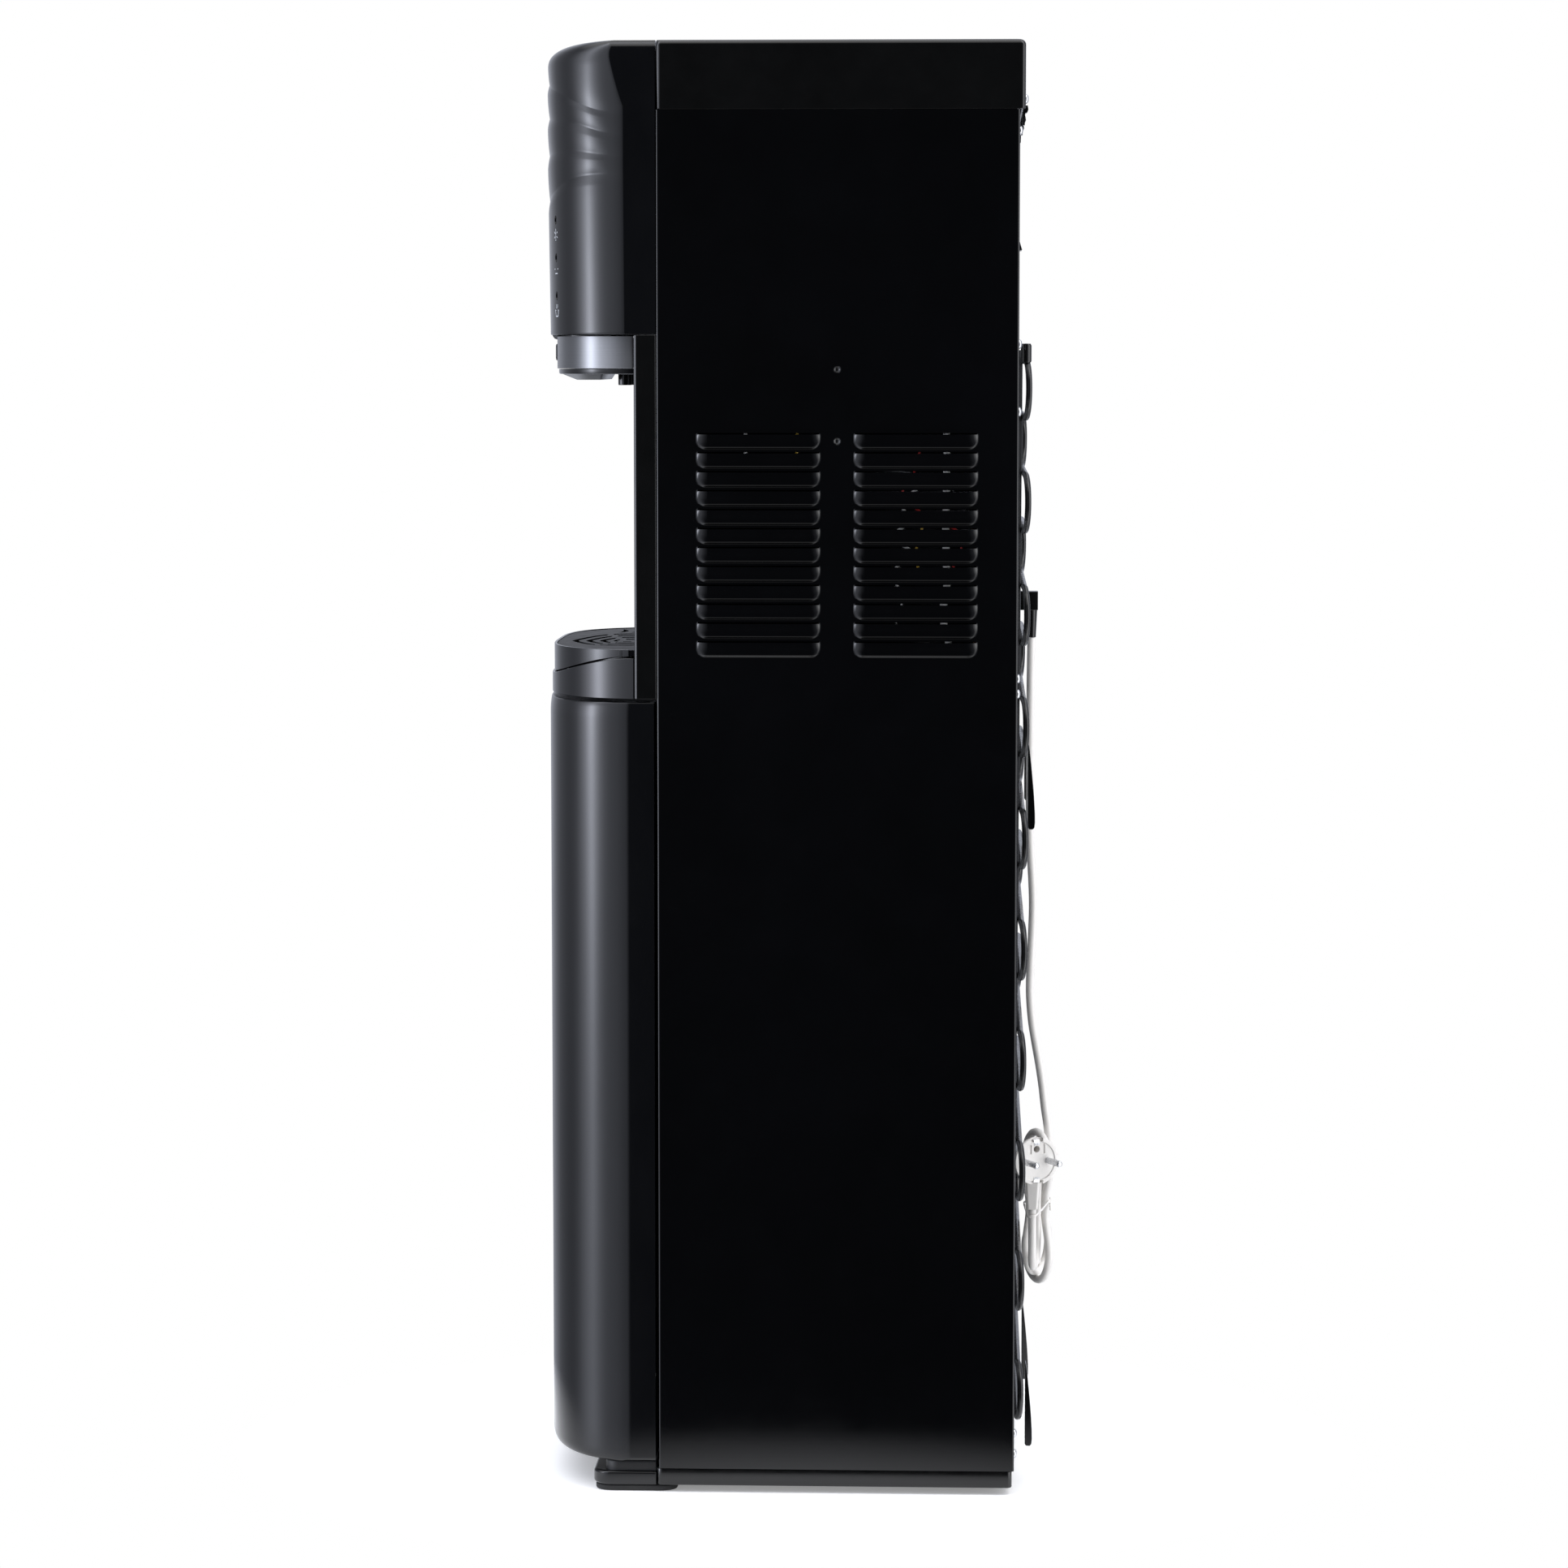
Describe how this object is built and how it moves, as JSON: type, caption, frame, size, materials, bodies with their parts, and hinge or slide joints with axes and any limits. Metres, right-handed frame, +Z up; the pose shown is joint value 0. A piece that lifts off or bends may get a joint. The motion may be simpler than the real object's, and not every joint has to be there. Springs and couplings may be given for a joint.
{
  "type": "bottom-loading water dispenser",
  "caption": "Floor-standing bottom-loading water dispenser with a niche over a lift-out drip tray, a hinged bottle door, louvred sides and a rear condenser.",
  "frame": {"origin": "on the floor, under the middle of the cabinet with its louvres and wall spacers", "axes": "+Z up, the front faces -Y, +X is to the right of someone who faces the front"},
  "size_m": [0.3152, 0.3818, 1.05],
  "materials": {
    "paint": "smooth gloss powder coat",
    "gloss_black": "glossy moulded plastic",
    "satin_black": "satin moulded plastic",
    "brushed": "brushed along its length",
    "rubber": "matte",
    "steel": "smooth stainless steel",
    "zinc": "galvanised sheet",
    "coil_black": "black enamel",
    "white_plastic": "white moulded plastic",
    "foam": "rigid foam",
    "circuit": "circuit board",
    "lamp": "smoked lens",
    "copper": "drawn copper"
  },
  "bodies": {
    "cabinet": {"base_pan": "satin_black", "front_skirt": "satin_black", "front_foot_pad_left": "rubber", "front_foot_pad_right": "rubber", "rear_foot_left": "rubber", "rear_foot_right": "rubber", "side_panel_right": "paint", "side_panel_left": "paint", "top_cover": "satin_black", "front_frame": "satin_black", "rear_panel_upper": "zinc", "rear_panel_lower": "zinc", "head_shell": "gloss_black", "indicator_lens_1": "lamp", "indicator_lens_2": "lamp", "indicator_lens_3": "lamp", "control_board": "circuit", "faucet_band": "brushed", "outlet_cover": "gloss_black", "nozzle_hot": "satin_black", "nozzle_room": "satin_black", "nozzle_cold": "satin_black", "switch_board": "circuit", "front_apron": "gloss_black", "hinge_pin_lower": "steel", "hinge_pin_upper": "steel", "door_magnet": "rubber", "mid_shelf": "zinc", "tank_shelf": "zinc", "compressor": "coil_black", "filter_dryer": "copper", "water_pump": "white_plastic", "cold_insulation": "foam", "cold_tank": "steel", "hot_jacket": "foam", "hot_tank": "steel", "power_box": "white_plastic", "dip_tube": "white_plastic", "probe_cap": "satin_black", "feed_hose": "white_plastic", "condenser_coil": "coil_black", "wall_spacer_upper_left": "satin_black", "wall_spacer_lower_left": "satin_black", "wall_spacer_upper_right": "satin_black", "wall_spacer_lower_right": "satin_black", "switch_plate": "satin_black", "cord_gland": "satin_black", "mains_cord": "white_plastic", "cord_hank": "white_plastic", "mains_plug": "white_plastic"},
    "door": {"door": "gloss_black"},
    "tray": {"drip_tray": "gloss_black"},
    "grille": {"drip_grille": "gloss_black"},
    "hot_button": {"button_hot": "gloss_black"},
    "room_button": {"button_room": "gloss_black"},
    "cold_button": {"button_cold": "gloss_black"},
    "child_lock": {"child_lock_slider": "white_plastic"},
    "heating_rocker": {"rocker_heating": "satin_black"},
    "cooling_rocker": {"rocker_cooling": "satin_black"}
  },
  "joints": [
    {"name": "door_hinge", "type": "hinge", "parent": "cabinet", "child": "door", "pos_m": [-0.1505, -0.0998, 0.3], "axis": [0, 0, -1], "range_deg": [0, 110]},
    {"name": "tray_lift", "type": "slide", "parent": "cabinet", "child": "tray", "axis": [0, 0, 1], "range_m": [0, 0.06]},
    {"name": "grille_lift", "type": "slide", "parent": "tray", "child": "grille", "axis": [0, 0, 1], "range_m": [0, 0.03]},
    {"name": "hot_button_press", "type": "slide", "parent": "cabinet", "child": "hot_button", "axis": [0, 1, 0], "range_m": [0, 0.0025], "stiffness_N_per_m": 300, "springref_m": -0.002},
    {"name": "room_button_press", "type": "slide", "parent": "cabinet", "child": "room_button", "axis": [0, 1, 0], "range_m": [0, 0.0025], "stiffness_N_per_m": 300, "springref_m": -0.002},
    {"name": "cold_button_press", "type": "slide", "parent": "cabinet", "child": "cold_button", "axis": [0, 1, 0], "range_m": [0, 0.0025], "stiffness_N_per_m": 300, "springref_m": -0.002},
    {"name": "child_lock_slide", "type": "slide", "parent": "hot_button", "child": "child_lock", "axis": [1, 0, 0], "range_m": [0, 0.012]},
    {"name": "heating_rocker_tilt", "type": "hinge", "parent": "cabinet", "child": "heating_rocker", "pos_m": [-0.05, 0.163, 0.914], "axis": [-1, 0, 0], "range_deg": [0, 14]},
    {"name": "cooling_rocker_tilt", "type": "hinge", "parent": "cabinet", "child": "cooling_rocker", "pos_m": [-0.026, 0.163, 0.914], "axis": [-1, 0, 0], "range_deg": [0, 14]}
  ]
}
